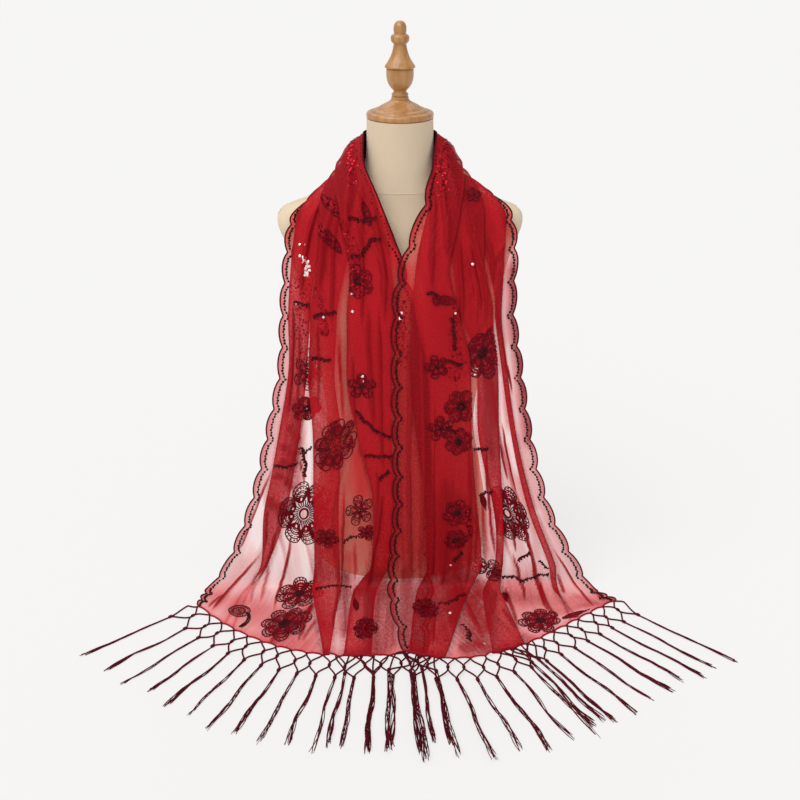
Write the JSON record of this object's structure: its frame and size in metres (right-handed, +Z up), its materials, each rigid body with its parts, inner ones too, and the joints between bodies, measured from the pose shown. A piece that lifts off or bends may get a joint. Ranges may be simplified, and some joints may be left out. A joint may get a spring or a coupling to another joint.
{
  "type": "evening stole on a dress form",
  "caption": "Sheer evening stole with scalloped, corded long edges and knotted tassel fringes, draped round the neck of a padded table-top dress form with a turned wood cap.",
  "frame": {"origin": "middle of the form's flat underside, on the table", "axes": "+Z up along the form's axis; the form's front faces -Y; +X is to the right of someone who looks at the front; the two ends of the stole lie on the table at -Y"},
  "size_m": [0.9609, 0.6262, 0.8724],
  "materials": {
    "sheer_red": "sheer red mesh with dark red sequins and cord embroidery",
    "wine_cord": "dull dark wine twisted yarn",
    "linen": "matt natural linen, plain weave",
    "turned_wood": "satin varnished light wood"
  },
  "bodies": {
    "root": {"stole_neck": "sheer_red", "stole_front_left": "sheer_red", "stole_front_right": "sheer_red", "fringe_left": "wine_cord", "fringe_right": "wine_cord", "form_torso": "linen", "form_neck_cap": "turned_wood", "form_finial": "turned_wood"}
  },
  "joints": []
}
